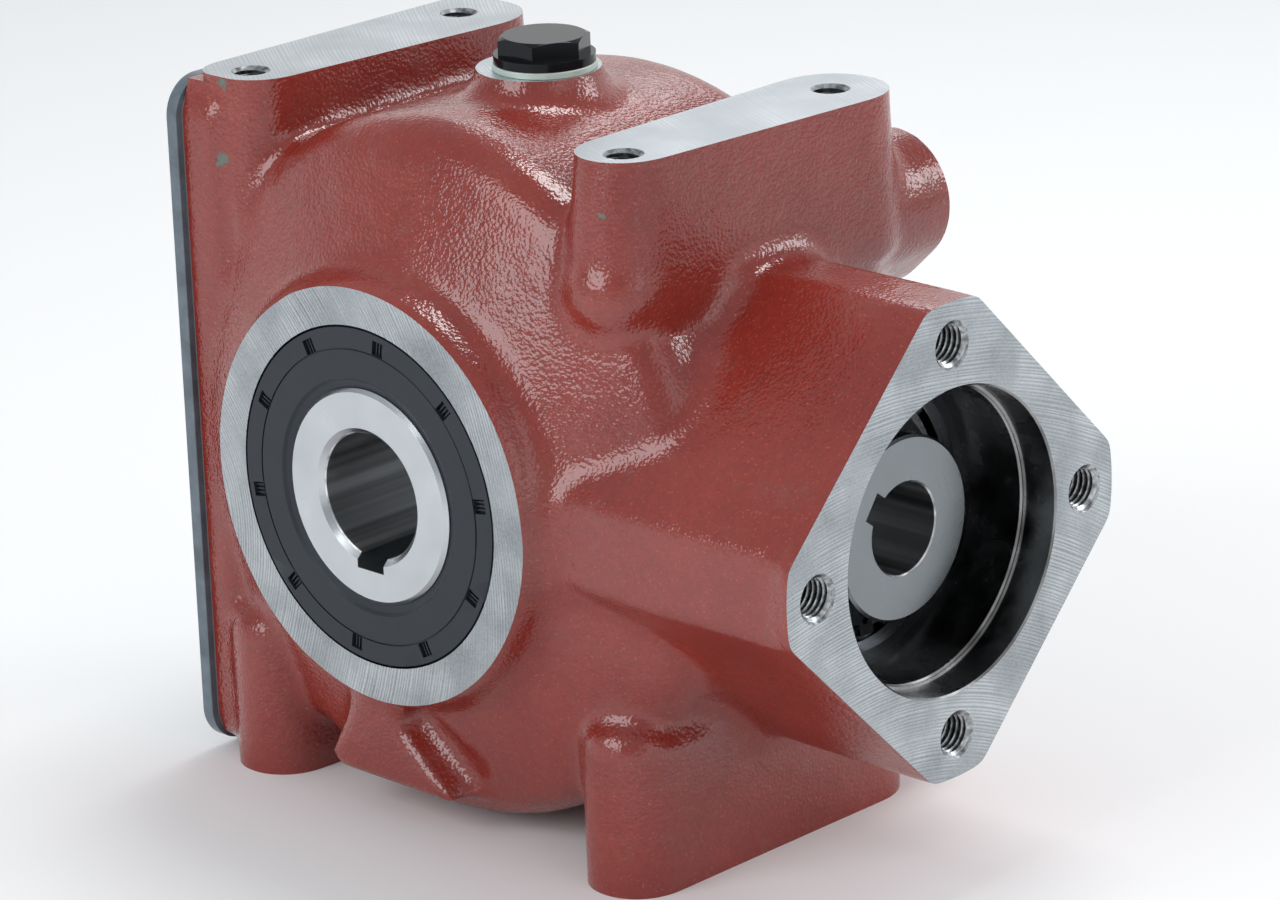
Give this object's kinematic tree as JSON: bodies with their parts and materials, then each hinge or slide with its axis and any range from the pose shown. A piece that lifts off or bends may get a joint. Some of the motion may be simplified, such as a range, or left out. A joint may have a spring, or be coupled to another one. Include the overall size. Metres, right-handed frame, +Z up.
{
  "type": "right-angle bevel gearbox",
  "caption": "Right-angle bevel gearbox with a hollow through output shaft, a hollow keyed input shaft in a square flange, and drilled pads above and below.",
  "frame": {"origin": "where the output and input shaft axes cross, in the middle of the output bore", "axes": "+X along the input shaft and out of the input flange; +Y along the output shaft, away from the front face; +Z up, towards the breather plug"},
  "size_m": [0.234, 0.14, 0.2132],
  "materials": {
    "casting_paint": "semi-gloss red-brown oxide paint on a sand-cast surface, machined faces bare",
    "cover_steel": "dark blue-grey coated plate with a scratched edge",
    "gasket": "thin dark gasket",
    "zinc": "plated fasteners",
    "black_plastic": "glossy black moulded plug",
    "washer_metal": "pale sealing washer",
    "shaft_steel": "turned and ground steel",
    "gear_steel": "case-hardened steel, slightly dark",
    "spring_steel": "dark spring steel",
    "seal_rubber": "slate-black moulded rubber",
    "cage_steel": "pressed steel cage",
    "bearing_steel": "ground bearing steel"
  },
  "bodies": {
    "housing": {"housing": "casting_paint", "cover": "cover_steel", "cover_gasket": "gasket", "cover_bolts": "zinc", "breather_plug": "black_plastic", "breather_washer": "washer_metal", "drain_plug": "zinc", "level_plug": "zinc", "pinion_shim": "spring_steel", "input_bore_circlip": "spring_steel", "front_output_circlip": "spring_steel", "front_output_seal": "seal_rubber", "front_seal_spring": "spring_steel", "front_output_bearing_outer_ring": "bearing_steel", "rear_output_circlip": "spring_steel", "rear_output_seal": "seal_rubber", "rear_seal_spring": "spring_steel", "rear_output_bearing_outer_ring": "bearing_steel", "inner_input_bearing_outer_ring": "bearing_steel", "outer_input_bearing_outer_ring": "bearing_steel"},
    "output_rotor": {"output_shaft": "shaft_steel", "crown_gear": "gear_steel", "crown_key": "gear_steel", "crown_shim": "spring_steel", "front_output_bearing_inner_ring": "bearing_steel", "rear_output_bearing_inner_ring": "bearing_steel"},
    "input_rotor": {"pinion_shaft": "gear_steel", "pinion_shaft_circlip": "spring_steel", "inner_input_bearing_inner_ring": "bearing_steel", "outer_input_bearing_inner_ring": "bearing_steel"},
    "front_output_balls": {"front_output_bearing_balls": "bearing_steel", "front_output_bearing_cage": "cage_steel"},
    "rear_output_balls": {"rear_output_bearing_balls": "bearing_steel", "rear_output_bearing_cage": "cage_steel"},
    "inner_input_balls": {"inner_input_bearing_balls": "bearing_steel", "inner_input_bearing_cage": "cage_steel"},
    "outer_input_balls": {"outer_input_bearing_balls": "bearing_steel", "outer_input_bearing_cage": "cage_steel"}
  },
  "joints": [
    {"name": "output_spin", "type": "hinge", "parent": "housing", "child": "output_rotor", "pos_m": [0, 0, 0], "axis": [0, 1, 0], "continuous": true},
    {"name": "input_spin", "type": "hinge", "parent": "housing", "child": "input_rotor", "pos_m": [0, 0, 0], "axis": [1, 0, 0], "continuous": true},
    {"name": "front_output_cage_spin", "type": "hinge", "parent": "housing", "child": "front_output_balls", "pos_m": [0, 0, 0], "axis": [0, 1, 0], "continuous": true},
    {"name": "rear_output_cage_spin", "type": "hinge", "parent": "housing", "child": "rear_output_balls", "pos_m": [0, 0, 0], "axis": [0, 1, 0], "continuous": true},
    {"name": "inner_input_cage_spin", "type": "hinge", "parent": "housing", "child": "inner_input_balls", "pos_m": [0, 0, 0], "axis": [1, 0, 0], "continuous": true},
    {"name": "outer_input_cage_spin", "type": "hinge", "parent": "housing", "child": "outer_input_balls", "pos_m": [0, 0, 0], "axis": [1, 0, 0], "continuous": true}
  ],
  "couplings": [
    {"joint": "input_spin", "follows": "output_spin", "ratio": -3},
    {"joint": "front_output_cage_spin", "follows": "output_spin", "ratio": 0.43226},
    {"joint": "rear_output_cage_spin", "follows": "output_spin", "ratio": 0.43226},
    {"joint": "inner_input_cage_spin", "follows": "output_spin", "ratio": -1.2923},
    {"joint": "outer_input_cage_spin", "follows": "output_spin", "ratio": -1.2923}
  ]
}
